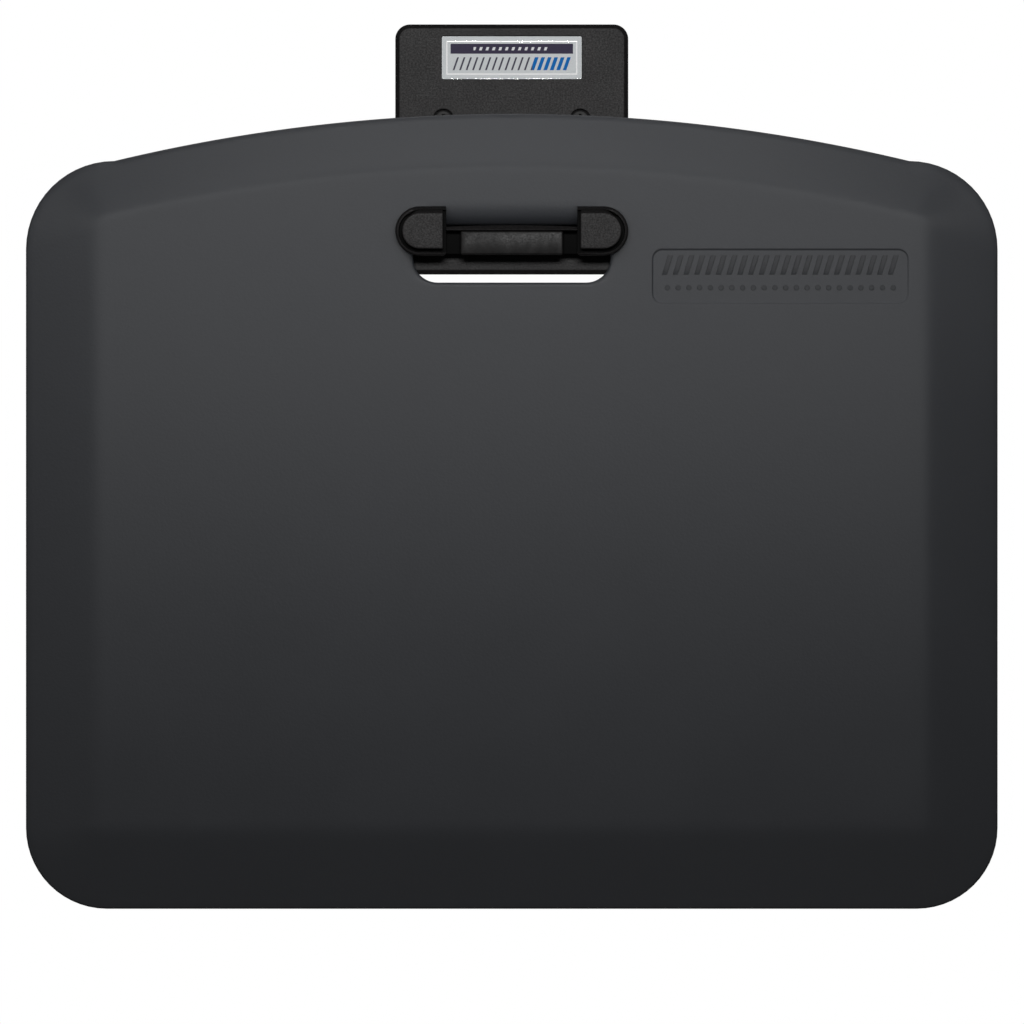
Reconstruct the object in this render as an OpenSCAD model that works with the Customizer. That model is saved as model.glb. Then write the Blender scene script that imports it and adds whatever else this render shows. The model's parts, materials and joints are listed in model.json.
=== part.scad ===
// Anti-fatigue mat hanging on its wall bracket.
// X runs along the wall, +Z is up and the wall is the plane Y = 0, with the room on the -Y side.
// The origin is the middle of the wall plate's back face. Sizes are in millimetres.

/* [Mat] */
// Width of the mat
mat_w = 660; // [560:5:760]
// Height of the mat from its bottom edge to the top of its corners
mat_h = 508; // [420:1:600]
// Rise of the arched top edge above the top corners
arch_rise = 32; // [15:1:45]
// Thickness of the mat's flat middle
mat_t = 19; // [14:0.5:24]
// Thickness of the mat's outer edge
mat_edge_t = 3; // [2:0.5:6]
// Radius of the mat's top corners
mat_top_r = 60; // [40:1:75]
// Radius of the mat's bottom corners
mat_bottom_r = 55; // [40:1:75]
// Width of the sloping border along the sides
slope_side = 49; // [30:1:60]
// Width of the sloping border along the bottom
slope_bottom = 53; // [30:1:60]
// Width of the sloping border along the arched top
slope_top = 36; // [25:1:45]

/* [Hand slot] */
// Width of the hand slot
slot_w = 133.8; // [125:0.1:150]
// Height of the hand slot
slot_h = 39; // [32:0.5:50]
// Radius of the hand slot's corners
slot_r = 16.6; // [5:0.1:19]
// Distance from the top of the arch down to the hand slot
slot_drop = 76; // [62:1:90]
// Height of the eased lip above the hand slot
lip_h = 17; // [8:1:22]
// Depth of the eased lip at the hand slot
lip_depth = 6; // [3:0.5:9]
// Half the length of the eased lip
lip_half_w = 52; // [40:1:56]

/* [Moulded panel] */
// Width of the moulded panel
panel_w = 174.3; // [120:0.1:180]
// Height of the moulded panel
panel_h = 37.7; // [24:0.1:50]
// Depth of the moulded panel
panel_depth = 0.8; // [0.4:0.1:2]
// Radius of the moulded panel's corners
panel_r = 7.3; // [3:0.1:10]
// Gap from the panel to the sloping border beside it
panel_border_gap = 12; // [10:1:30]
// Distance from the top of the hand slot down to the panel
panel_drop = 16; // [5:1:40]
// Margin between the panel's edge and its tread marks
panel_margin = 7; // [4:0.5:9]
// Number of slanted ribs in the panel
rib_count = 22; // [8:1:24]
// Width of a rib
rib_w = 3.4; // [2:0.1:4]
// Height of a rib
rib_h = 13; // [8:0.5:14]
// Sideways lean of a rib's top
rib_lean = 4; // [0:0.5:6]
// Height that the ribs and studs stand above the panel's floor
rib_rise = 0.5; // [0.2:0.1:0.8]
// Radius of the small round studs under the ribs
stud_r = 1.8; // [1:0.1:2.5]

/* [Wall plate] */
// Width of the wall plate
plate_w = 158.4; // [140:0.1:180]
// Height of the wall plate
plate_h = 170; // [160:1:200]
// Thickness of the wall plate
plate_t = 6; // [5.5:0.5:9]
// Radius of the wall plate's corners
plate_r = 10; // [5:0.5:14]
// Width of the sloping edge round the wall plate's front
plate_slope_w = 2.7; // [1:0.1:4]
// Depth of the sloping edge round the wall plate's front
plate_slope_d = 3.5; // [1:0.1:4.5]

/* [Wall screws] */
// Sideways distance between the wall screws
screw_span_x = 93; // [80:1:110]
// Height of the upper wall screws above the middle of the plate
screw_rise = 20.3; // [16:0.1:26]
// Radius of the wall screws' thread
thread_r = 2.4; // [2:0.1:2.5]
// Radius of the wall screws' plain neck
screw_neck_r = 2.6; // [2.55:0.05:3]
// Length of the thread that goes into the wall
thread_len = 29; // [20:1:40]
// Length of the wall screws' point
point_len = 4; // [3:0.5:6]
// Radius of the wall screws' heads
screw_head_r = 6.5; // [5.5:0.1:7]
// Thickness of the wall screws' heads
screw_head_t = 2.8; // [2:0.1:3]
// Reach of the cross recess from the middle of a wall screw's head
screw_drive_reach = 3.7; // [3:0.1:4.5]
// Gap round a wall screw's head
head_gap = 0.6; // [0.3:0.1:1]
// Gap round a wall screw's neck
neck_gap = 0.3; // [0.1:0.05:0.5]
// Plate left under a wall screw's head
seat_t = 2.6; // [2:0.1:3]

/* [Hook] */
// Height of the flange's middle above the bottom of the wall plate
hook_rise = 28.75; // [25:0.25:34]
// Width of the hook's front flange
flange_w = 157.6; // [145:0.1:170]
// Height of the hook's front flange
flange_h = 33.5; // [30:0.5:38]
// Thickness of the hook's front flange
flange_t = 5; // [4:0.5:7]
// Rounding of the flange's front edge
flange_round = 2.4; // [1:0.1:2.4]
// Width of the gap between the two ears
ear_gap_w = 88.8; // [80:0.1:96]
// Height of the ears above the saddle
ear_rise = 12.5; // [8:0.5:16]
// Height of the sloping edge along the top of the ears
ear_slope_h = 2.5; // [1:0.1:2.5]
// Thickness of the ears' top edge behind the slope
ear_edge_t = 0.6; // [0.4:0.1:1.5]
// Radius of the ears' lower corners beside the gap
ear_corner_r = 2.5; // [1:0.1:2.5]
// Half the width of the neck that goes through the hand slot
neck_half_w = 55; // [46:0.5:55]
// Height of the neck
neck_h = 19; // [15:0.5:22]
// Rise of the saddle's middle above its ends
saddle_crown = 1.1; // [0.5:0.1:2]
// Gap between the mat and the wall plate
back_gap = 0.3; // [0.3:0.1:1]
// Gap between the mat and the flange
front_gap = 0.7; // [0.4:0.1:1.5]
// Gap between the hand slot's top and the saddle
saddle_gap = 0.3; // [0.2:0.1:0.5]
// Height of the sloping edge in front of the saddle
brow_h = 3; // [2:0.1:5]
// Depth of the sloping edge in front of the saddle
brow_depth = 3; // [2:0.1:5]
// Thickness of the saddle's front edge under the slope
brow_edge = 0.7; // [0.5:0.1:1.5]

/* [Ear caps] */
// Depth of the pockets in the ears
pocket_depth = 3.5; // [2:0.5:4]
// Width of the rim round the pockets
pocket_rim = 2.5; // [2:0.1:4]
// Gap between an ear cap and its pocket
moat = 2.2; // [0.5:0.1:3]
// Height of the ear caps above the flange
cap_rise = 4; // [2:0.5:6]
// Gap between an ear cap's brow and its pocket
brow_gap = 0.15; // [0.1:0.05:0.5]

/* [Saddle pad] */
// Width of the pad between the ears
pad_w = 69.5; // [50:0.5:80]
// Height of the pad between the ears
pad_h = 16; // [10:0.5:17]
// Depth of the recess that the pad sits in
recess_depth = 10; // [6:0.5:12]
// Gap above the pad
pad_gap = 0.3; // [0.1:0.1:1]
// Bulge of the pad's front
pad_bulge = 1.2; // [0.5:0.1:2]

/* [Hook screws] */
// Sideways distance between the hook screws
hook_screw_span_x = 84; // [60:1:92]
// Height between the hook screws
hook_screw_span_z = 9.4; // [9:0.1:12]
// Radius of the hook screws' thread
hook_thread_r = 1.75; // [1.5:0.05:2]
// Length of the hook screws' thread in the neck
hook_thread_len = 10; // [6:0.5:11]
// Radius of the hook screws' heads
hook_head_r = 3.4; // [3:0.1:4]
// Thickness of the hook screws' heads
hook_head_t = 2.2; // [1.5:0.1:2.5]
// Reach of the cross recess from the middle of a hook screw's head
hook_drive_reach = 1.9; // [1.5:0.1:2.5]
// Gap round the hook screws in the plate
hook_screw_gap = 0.15; // [0.05:0.05:0.3]
// Gap round the hook screws' thread in the neck
pilot_gap = 0.05; // [0.05:0.05:0.2]

/* [Badge] */
// Width of the badge
badge_w = 95; // [60:1:110]
// Height of the badge
badge_h = 29; // [20:1:32]
// Thickness of the badge's metal plate
badge_t = 0.8; // [0.5:0.1:1.5]
// Thickness of the clear dome over the badge
dome_t = 1.2; // [0.6:0.1:2]
// Thickness of the dome at its edge
dome_edge_t = 0.5; // [0.3:0.1:0.6]
// Width of the dome's sloping border
dome_slope = 3.4; // [1:0.1:5]
// Radius of the badge's corners
badge_r = 1; // [0.5:0.25:3]
// Distance from the top of the wall plate down to the badge
badge_drop = 8.3; // [6:0.1:12]
// Depth of the badge's recess
badge_recess = 1.2; // [0.8:0.1:2]
// Gap round the badge
badge_gap = 0.3; // [0.1:0.1:0.6]

/* [Hidden] */
$fn = 72;

cut = 1;                 // how far a cutting tool runs past the face that it cuts
arch_steps = 28;         // straight pieces in the arched top edge
corner_steps = 10;       // straight pieces in each corner of the mat
crest_r = 4;             // smallest corner radius of the mat's flat middle
crest_ease = 0.18;       // share of the slope that the rounded crest takes on each side
lip_steps = 8;           // straight pieces in the eased lip
drive_t = 1.9;           // width of the arms of the cross recess
drive_depth = 1.6;       // depth of the cross recess

// the wall screws stand in for a square-cornered pattern round the origin
screw_span_z = 2 * screw_rise;
plate_front = -plate_t;

// the mat hangs in the channel between the plate and the flange
mat_back = plate_front - back_gap;
mat_front = mat_back - mat_t;
flange_back = mat_front - front_gap;
flange_front = flange_back - flange_t;

// heights, from the bottom of the wall plate up and then down the mat
hook_mid_z = hook_rise - plate_h / 2;
flange_top_z = hook_mid_z + flange_h / 2;
flange_bottom_z = hook_mid_z - flange_h / 2;
saddle_z = flange_top_z - ear_rise - saddle_gap;
neck_bottom_z = saddle_z - neck_h;
slot_top_z = saddle_z + saddle_gap;
slot_mid_z = slot_top_z - slot_h / 2;
mat_top_z = slot_top_z + slot_drop;
mat_corner_z = mat_top_z - arch_rise;
mat_bottom_z = mat_corner_z - mat_h;

// arch through the top of both corners
arch_half = mat_w / 2 - mat_top_r;
arch_r = (arch_half * arch_half + arch_rise * arch_rise) / (2 * arch_rise);

// saddle crown, a large circle that touches the saddle's middle
crown_r = ear_gap_w * ear_gap_w / (8 * saddle_crown);
recess_top_z = saddle_z - brow_h - brow_edge;

// ears
ear_r = flange_h / 2;
ear_x = flange_w / 2 - ear_r;
pocket_r = ear_r - pocket_rim;
cap_r = pocket_r - moat;

// moulded panel
panel_x = mat_w / 2 - slope_side - panel_border_gap - panel_w / 2;
panel_z = slot_top_z - panel_drop - panel_h / 2;

// badge
badge_z = plate_h / 2 - badge_drop - badge_h / 2;

// ---- helpers ------------------------------------------------------------

// Stands a flat drawing up against the wall and gives it a thickness towards the room.
module stand(back_y, t) {
    translate([0, back_y, 0]) rotate([90, 0, 0]) linear_extrude(t) children();
}

// Turns something built on the XY plane so that its height points into the room.
module face_room(x, y, z) {
    translate([x, y, z]) rotate([90, 0, 0]) children();
}

module rounded_rect(w, h, r) {
    square([w - 2 * r, h], center = true);
    square([w, h - 2 * r], center = true);
    for (sx = [-1, 1], sy = [-1, 1])
        translate([sx * (w / 2 - r), sy * (h / 2 - r)]) circle(r);
}

// Cross-section of a slab whose front edges slope in by slope_w over a depth of slope_d.
module sloped_section(w, t, slope_w, slope_d) {
    polygon([[-w / 2, 0], [w / 2, 0], [w / 2, t - slope_d], [w / 2 - slope_w, t],
             [slope_w - w / 2, t], [-w / 2, t - slope_d]]);
}

// Slab with round corners and a sloping edge round its front.
module sloped_slab(w, h, t, r, slope_w, slope_d) {
    for (sx = [-1, 1], sy = [-1, 1])
        translate([sx * (w / 2 - r), sy * (h / 2 - r), 0]) {
            cylinder(h = t - slope_d, r = r);
            translate([0, 0, t - slope_d]) cylinder(h = slope_d, r1 = r, r2 = r - slope_w);
        }
    rotate([90, 0, 0]) linear_extrude(h - 2 * r, center = true)
        sloped_section(w, t, slope_w, slope_d);
    rotate([90, 0, 90]) linear_extrude(w - 2 * r, center = true)
        sloped_section(h, t, slope_w, slope_d);
}

// Cross-section of a slab whose front edges are rounded.
module rounded_section(w, t, e) {
    translate([-w / 2, 0]) square([w, t - e]);
    translate([e - w / 2, 0]) square([w - 2 * e, t]);
    for (s = [-1, 1]) translate([s * (w / 2 - e), t - e]) circle(e);
}

// Slab with half-round ends and a rounded front edge.
module obround_slab(w, h, t, e) {
    rotate([90, 0, 90]) linear_extrude(w - h, center = true) rounded_section(h, t, e);
    for (s = [-1, 1])
        translate([s * (w - h) / 2, 0, 0]) rotate_extrude()
            intersection() {
                rounded_section(h, t, e);
                square([h, t]);
            }
}

// D-shaped drawing: round on the outside, straight on the inside. side is -1 for left.
module d_shape(side, r, inner_x) {
    translate([side * ear_x, hook_mid_z]) circle(r);
    translate([side > 0 ? inner_x : -ear_x, hook_mid_z - r]) square([ear_x - inner_x, 2 * r]);
}

// Cross recess of a screw head, cut from the face at z = 0 downwards.
module cross_recess(reach) {
    for (a = [0, 90]) rotate(a)
        translate([-reach, -drive_t / 2, -drive_depth]) cube([2 * reach, drive_t, drive_depth + cut]);
}

function wall_screw_place(i) = [
    (i % 2 == 1 ? -1 : 1) * screw_span_x / 2,
    (i <= 2 ? 1 : -1) * screw_span_z / 2
];

function hook_screw_place(i) = [
    (i % 2 == 1 ? -1 : 1) * hook_screw_span_x / 2,
    saddle_z - neck_h / 2 + (i <= 2 ? 1 : -1) * hook_screw_span_z / 2
];

// ---- mat ------------------------------------------------------------------

function arch_fall(x, r) = r - sqrt(r * r - x * x);

function corner(centre, r, from, to) = [
    for (i = [0:corner_steps])
        let (a = from + (to - from) * i / corner_steps) centre + r * [cos(a), sin(a)]
];

// The mat's outline moved in by a share f of the sloping border.
function mat_ring(f) =
    let (side_x = mat_w / 2 - f * slope_side,
         base_z = mat_bottom_z + f * slope_bottom,
         low_r = max(mat_bottom_r - f * slope_side, crest_r),
         top_r = max(mat_top_r - f * slope_side, crest_r),
         r = arch_r - f * slope_top,
         end_x = side_x - top_r,
         end_z = mat_top_z - f * slope_top - arch_fall(end_x, r),
         half_a = asin(end_x / r))
    concat(
        corner([low_r - side_x, base_z + low_r], low_r, 180, 270),
        corner([side_x - low_r, base_z + low_r], low_r, 270, 360),
        corner([end_x, end_z - top_r], top_r, 0, 90),
        [for (i = [1:arch_steps - 1])
            let (a = half_a * (1 - 2 * i / arch_steps))
                [r * sin(a), mat_top_z - f * slope_top - r * (1 - cos(a))]],
        corner([-end_x, end_z - top_r], top_r, 90, 180)
    );

// Share of the border and thickness, from the outer edge to the flat middle.
slope_rise = mat_t - mat_edge_t;
ease_start = [1 - crest_ease, mat_edge_t + slope_rise * (1 - crest_ease)];
ease_end = [1 + crest_ease, mat_t];
mat_profile = concat(
    [[0, 0], [0, mat_edge_t]],
    [for (u = [0:0.25:1])
        (1 - u) * (1 - u) * ease_start + 2 * u * (1 - u) * [1, mat_t] + u * u * ease_end]
);

module mat_blank() {
    rings = [for (p = mat_profile) [for (q = mat_ring(p[0])) [q[0], mat_back - p[1], q[1]]]];
    n = len(rings[0]);
    last = len(rings) - 1;
    points = [for (ring = rings, q = ring) q];
    sides = [for (k = [0:last - 1], i = [0:n - 1])
        let (j = (i + 1) % n) [k * n + j, k * n + i, (k + 1) * n + i, (k + 1) * n + j]];
    polyhedron(
        points,
        concat(sides, [[for (i = [0:n - 1]) i]], [[for (i = [n - 1:-1:0]) last * n + i]]),
        convexity = 4
    );
}

// What the eased lip takes off above the hand slot: the outside of a quarter ellipse.
module lip_section() {
    polygon(concat(
        [[mat_front - cut, slot_top_z - cut], [mat_front + lip_depth, slot_top_z - cut]],
        [for (i = [0:lip_steps])
            let (a = 90 * i / lip_steps)
                [mat_front + lip_depth * (1 - sin(a)), slot_top_z + lip_h * (1 - cos(a))]],
        [[mat_front - cut, slot_top_z + lip_h]]
    ));
}

// Tread marks of the panel: a row of slanted ribs over a row of round studs.
module tread_marks() {
    run = panel_w - 2 * panel_margin - rib_w - rib_lean;
    pitch = run / (rib_count - 1);
    rib_z = panel_h / 2 - panel_margin - rib_h;
    stud_z = panel_margin + stud_r - panel_h / 2;
    for (i = [0:rib_count - 1]) {
        x = i * pitch - run / 2 - rib_lean / 2;
        translate([x, rib_z])
            polygon([[-rib_w / 2, 0], [rib_w / 2, 0],
                     [rib_lean + rib_w / 2, rib_h], [rib_lean - rib_w / 2, rib_h]]);
        translate([i * pitch - run / 2, stud_z]) circle(stud_r, $fn = 24);
    }
}

module mat() {
    color([0.23, 0.23, 0.245]) difference() {
        mat_blank();
        translate([0, 0, slot_mid_z])
            stand(mat_back + cut, mat_t + 2 * cut) rounded_rect(slot_w, slot_h, slot_r);
        rotate([90, 0, 90]) linear_extrude(2 * lip_half_w, center = true) lip_section();
        translate([panel_x, 0, panel_z]) difference() {
            stand(mat_front + panel_depth, panel_depth + cut) rounded_rect(panel_w, panel_h, panel_r);
            stand(mat_front + panel_depth + cut, cut + rib_rise) tread_marks();
        }
    }
}

// ---- wall plate ------------------------------------------------------------

module wall_plate() {
    color([0.2, 0.195, 0.2]) difference() {
        face_room(0, 0, 0)
            sloped_slab(plate_w, plate_h, plate_t, plate_r, plate_slope_w, plate_slope_d);
        for (i = [1:4]) {
            p = wall_screw_place(i);
            face_room(p[0], cut, p[1]) cylinder(h = plate_t + 2 * cut, r = screw_neck_r + neck_gap);
            face_room(p[0], -seat_t, p[1]) cylinder(h = plate_t, r = screw_head_r + head_gap);
        }
        for (i = [1:4]) {
            p = hook_screw_place(i);
            face_room(p[0], cut, p[1])
                cylinder(h = plate_t + 2 * cut, r = hook_thread_r + hook_screw_gap);
            face_room(p[0], cut, p[1])
                cylinder(h = cut + hook_head_t + hook_screw_gap, r = hook_head_r + hook_screw_gap);
        }
        translate([0, 0, badge_z])
            stand(plate_front + badge_recess, badge_recess + cut)
                rounded_rect(badge_w + 2 * badge_gap, badge_h + 2 * badge_gap, badge_r + badge_gap);
    }
}

// ---- hook -------------------------------------------------------------------

// Neck and flange under the arched line of the saddle, between the ears.
module hook_centre() {
    section = [
        [plate_front, neck_bottom_z], [plate_front, saddle_z],
        [flange_front + brow_depth, saddle_z], [flange_front, saddle_z - brow_h],
        [flange_front, flange_bottom_z], [flange_back, flange_bottom_z],
        [flange_back, neck_bottom_z]
    ];
    intersection() {
        rotate([90, 0, 90]) linear_extrude(ear_gap_w, center = true) polygon(section);
        translate([0, 0, saddle_z - crown_r]) rotate([90, 0, 0])
            cylinder(h = 2 * (cut - flange_front), r = crown_r, center = true, $fn = 720);
    }
}

// Wedge that slopes the top of the ears back from their front face.
module ear_top_cut() {
    back_y = flange_back - ear_edge_t;
    fall = ear_slope_h / (back_y - flange_front);
    rotate([90, 0, 90]) linear_extrude(flange_w + 2 * cut, center = true) polygon([
        [back_y, flange_top_z],
        [back_y, flange_top_z + cut],
        [flange_front - cut, flange_top_z + cut],
        [flange_front - cut, flange_top_z - ear_slope_h - cut * fall]
    ]);
}

// What rounding the lower corner of an ear beside the gap takes off. side is -1 for left.
module ear_corner_cut(side) {
    translate([side * (ear_gap_w / 2 + ear_corner_r), 0, flange_bottom_z + ear_corner_r])
        stand(flange_back + cut, flange_t + 2 * cut) difference() {
            translate([side > 0 ? -ear_corner_r - cut : 0, -ear_corner_r - cut])
                square(ear_corner_r + cut);
            circle(ear_corner_r);
        }
}

module hook_body() {
    neck_end_h = neck_h - 2 * saddle_crown;
    color([0.2, 0.195, 0.2]) difference() {
        union() {
            hook_centre();
            translate([-neck_half_w, flange_back, neck_bottom_z])
                cube([2 * neck_half_w, plate_front - flange_back, neck_end_h]);
            difference() {
                face_room(0, flange_back, hook_mid_z)
                    obround_slab(flange_w, flange_h, flange_t, flange_round);
                translate([-ear_gap_w / 2, flange_front - cut, flange_bottom_z - cut])
                    cube([ear_gap_w, flange_t + 2 * cut, flange_h + 2 * cut]);
                ear_top_cut();
                for (side = [-1, 1]) ear_corner_cut(side);
            }
        }
        // recess for the pad, open below
        translate([-ear_gap_w / 2, flange_front - cut, flange_bottom_z - cut])
            cube([ear_gap_w, recess_depth + cut, recess_top_z - flange_bottom_z + cut]);
        // pockets in the ears, open towards the gap between them
        for (side = [-1, 1])
            stand(flange_front + pocket_depth, pocket_depth + cut)
                d_shape(side, pocket_r, ear_gap_w / 2);
        for (i = [1:4]) {
            p = hook_screw_place(i);
            face_room(p[0], plate_front + cut, p[1])
                cylinder(h = cut + hook_thread_len + pilot_gap, r = hook_thread_r + pilot_gap);
        }
    }
}

// Pad that fills the middle of the recess, with a front that bulges along its length.
module saddle_pad() {
    pad_back = flange_front + recess_depth;
    bulge_r = (pad_w * pad_w / 4 + pad_bulge * pad_bulge) / (2 * pad_bulge);
    pad_top_z = recess_top_z - pad_gap;
    color([0.215, 0.21, 0.21]) intersection() {
        translate([-pad_w / 2, flange_front - cut, pad_top_z - pad_h])
            cube([pad_w, recess_depth + cut, pad_h]);
        translate([0, flange_front + bulge_r, hook_mid_z])
            cylinder(h = 2 * flange_h, r = bulge_r, center = true, $fn = 720);
    }
}

// Raised D-shaped cap with a sloping brow that reaches up to the pocket's wall.
module ear_cap(side) {
    floor_y = flange_front + pocket_depth;
    face_y = flange_front - cap_rise;
    inner_x = ear_gap_w / 2 + moat;
    brow = [
        [floor_y, hook_mid_z], [face_y, hook_mid_z], [face_y, hook_mid_z + cap_r],
        [flange_front, hook_mid_z + pocket_r - brow_gap],
        [floor_y, hook_mid_z + pocket_r - brow_gap]
    ];
    color([0.215, 0.21, 0.21]) {
        stand(floor_y, floor_y - face_y) d_shape(side, cap_r, inner_x);
        translate([side * (ear_x + inner_x) / 2, 0, 0])
            rotate([90, 0, 90]) linear_extrude(ear_x - inner_x, center = true) polygon(brow);
    }
}

module ear_cap_left() { ear_cap(-1); }

module ear_cap_right() { ear_cap(1); }

// ---- badge -------------------------------------------------------------------

module badge_plate() {
    color([0.82, 0.82, 0.82]) translate([0, 0, badge_z])
        stand(plate_front + badge_recess, badge_t) rounded_rect(badge_w, badge_h, badge_r);
}

module badge_dome() {
    color([0.9, 0.92, 0.95, 0.4])
        face_room(0, plate_front + badge_recess - badge_t, badge_z) hull() {
            linear_extrude(dome_edge_t) rounded_rect(badge_w, badge_h, badge_r, $fn = 32);
            linear_extrude(dome_t)
                rounded_rect(badge_w - 2 * dome_slope, badge_h - 2 * dome_slope, badge_r, $fn = 32);
        }
}

// ---- screws ---------------------------------------------------------------------

// Wall screw: its head sits in the plate, and its thread starts at the wall.
module wall_screw(i) {
    p = wall_screw_place(i);
    color([0.16, 0.155, 0.16]) difference() {
        union() {
            face_room(p[0], -seat_t, p[1]) cylinder(h = screw_head_t, r = screw_head_r);
            face_room(p[0], 0, p[1]) cylinder(h = seat_t, r = screw_neck_r);
            face_room(p[0], thread_len - point_len, p[1])
                cylinder(h = thread_len - point_len, r = thread_r);
            face_room(p[0], thread_len, p[1]) cylinder(h = point_len, r1 = 0, r2 = thread_r);
        }
        face_room(p[0], -seat_t - screw_head_t, p[1]) cross_recess(screw_drive_reach);
    }
}

// Hook screw: its head lies in the plate's back, and its thread holds the neck.
module hook_screw(i) {
    p = hook_screw_place(i);
    color([0.6, 0.6, 0.62]) difference() {
        union() {
            face_room(p[0], -hook_screw_gap, p[1])
                cylinder(h = plate_t + hook_thread_len - hook_screw_gap, r = hook_thread_r);
            face_room(p[0], -hook_screw_gap, p[1]) cylinder(h = hook_head_t, r = hook_head_r);
        }
        face_room(p[0], -hook_screw_gap, p[1]) mirror([0, 0, 1]) cross_recess(hook_drive_reach);
    }
}

mat();
wall_plate();
hook_body();
saddle_pad();
ear_cap_left();
ear_cap_right();
badge_plate();
badge_dome();
wall_screw(1);  // wall_screw_1
wall_screw(2);  // wall_screw_2
wall_screw(3);  // wall_screw_3
wall_screw(4);  // wall_screw_4
hook_screw(1);  // hook_screw_1
hook_screw(2);  // hook_screw_2
hook_screw(3);  // hook_screw_3
hook_screw(4);  // hook_screw_4
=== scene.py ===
# %% [markdown]
# # An anti-fatigue mat on its wall bracket
# The mat is a slab of polyurethane foam with sloping borders, an arched top and a hand slot. It hangs on a
# black plastic bracket: a wall plate with a hook, whose neck passes through the slot. The frame holds every
# solid at its real size, and the cells below give each one its finished shape and its surface.
# Lengths are in metres. +X runs along the wall, +Z is up, and the room is on the -Y side.

# %% Load the frame
import json
import math
import bmesh
import bpy
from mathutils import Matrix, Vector
from mathutils.geometry import delaunay_2d_cdt

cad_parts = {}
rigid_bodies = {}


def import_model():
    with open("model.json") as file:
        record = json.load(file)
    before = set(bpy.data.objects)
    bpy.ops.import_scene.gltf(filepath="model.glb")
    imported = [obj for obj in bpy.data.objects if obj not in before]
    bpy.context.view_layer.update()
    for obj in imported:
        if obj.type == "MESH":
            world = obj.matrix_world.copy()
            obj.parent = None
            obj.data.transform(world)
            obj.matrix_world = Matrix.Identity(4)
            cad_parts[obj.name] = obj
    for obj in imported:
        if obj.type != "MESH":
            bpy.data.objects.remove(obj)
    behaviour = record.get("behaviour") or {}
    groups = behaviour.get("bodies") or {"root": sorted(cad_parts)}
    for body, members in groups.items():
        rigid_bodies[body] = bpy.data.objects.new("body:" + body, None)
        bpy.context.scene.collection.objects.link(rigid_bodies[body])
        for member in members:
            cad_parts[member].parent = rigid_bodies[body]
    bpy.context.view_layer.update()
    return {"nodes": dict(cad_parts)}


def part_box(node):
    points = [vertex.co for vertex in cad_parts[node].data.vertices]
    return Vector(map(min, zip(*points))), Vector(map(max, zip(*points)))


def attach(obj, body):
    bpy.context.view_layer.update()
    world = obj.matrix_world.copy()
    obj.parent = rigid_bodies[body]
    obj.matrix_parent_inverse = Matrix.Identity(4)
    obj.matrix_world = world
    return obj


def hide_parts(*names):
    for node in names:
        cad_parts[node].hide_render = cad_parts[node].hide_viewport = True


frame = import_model()
MM = 0.001

# %% Boxes that place the pieces
mat_low, mat_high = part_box("mat")
plate_low, plate_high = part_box("wall_plate")
hook_low, hook_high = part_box("hook_body")
badge_low, badge_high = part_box("badge_plate")
dome_low, dome_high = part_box("badge_dome")
print("mat from", [round(v, 4) for v in mat_low], "to", [round(v, 4) for v in mat_high])

# %% [markdown]
# ## Tools for node trees
# Materials and Geometry Nodes are both trees of nodes. Writing them as sums keeps a recipe readable: a Wire is
# one output socket, and adding or multiplying wires adds the Math nodes that do it.

# %% Node trees written as sums
class Graph:
    """A node tree whose nodes are added one call at a time."""

    def __init__(self, tree):
        self.tree = tree

    def node(self, kind, settings=None, inputs=None, out=0):
        """Adds a node, makes its settings first, fills its inputs and returns one output."""
        node = self.tree.nodes.new(kind)
        for name, value in (settings or {}).items():
            setattr(node, name, value)
        for key, value in (inputs or {}).items():
            if isinstance(value, Wire):
                self.tree.links.new(value.socket, node.inputs[key])
            else:
                node.inputs[key].default_value = value
        return Wire(self, node.outputs[out])

    def math(self, operation, *values):
        return self.node("ShaderNodeMath", {"operation": operation}, dict(enumerate(values)))

    def mix(self, factor, low, high):
        """A colour between two colours."""
        return self.node("ShaderNodeMix", {"data_type": "RGBA"}, {0: factor, 6: low, 7: high}, out=2)

    def ease(self, value, low, high):
        """0 below low, 1 above high and a smooth step between them."""
        settings = {"interpolation_type": "SMOOTHSTEP"}
        return self.node("ShaderNodeMapRange", settings, {"Value": value, "From Min": low, "From Max": high})


class Wire:
    """An output socket that can stand in a sum."""

    def __init__(self, graph, socket):
        self.graph = graph
        self.socket = socket

    def other(self, name):
        """Another output of the same node."""
        return Wire(self.graph, self.socket.node.outputs[name])

    def __add__(self, value):
        return self.graph.math("ADD", self, value)

    def __radd__(self, value):
        return self.graph.math("ADD", value, self)

    def __sub__(self, value):
        return self.graph.math("SUBTRACT", self, value)

    def __rsub__(self, value):
        return self.graph.math("SUBTRACT", value, self)

    def __mul__(self, value):
        return self.graph.math("MULTIPLY", self, value)

    def __rmul__(self, value):
        return self.graph.math("MULTIPLY", value, self)

    def __truediv__(self, value):
        return self.graph.math("DIVIDE", self, value)

    def __lt__(self, value):
        return self.graph.math("LESS_THAN", self, value)

    def __gt__(self, value):
        return self.graph.math("GREATER_THAN", self, value)


# %% [markdown]
# ## Tools for solids
# Moulded parts such as a plate, a cap or a screw head are stacks of outlines: each ring of points lies at its
# own depth, the rings are joined by strips, and the flat faces are filled round their holes. Rounding the
# profile before the rings are made gives every edge the small radius that a mould leaves, and that radius is
# what catches the light.

# %% Outlines in the X-Z plane
def arc(centre, radius, start, end, steps):
    """Points along an arc, from one angle to another in degrees."""
    angles = [math.radians(start + (end - start) * i / steps) for i in range(steps + 1)]
    return [(centre[0] + radius * math.cos(a), centre[1] + radius * math.sin(a)) for a in angles]


def circle(centre, radius, steps=48):
    return arc(centre, radius, 0, 360, steps)[:-1]


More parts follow.
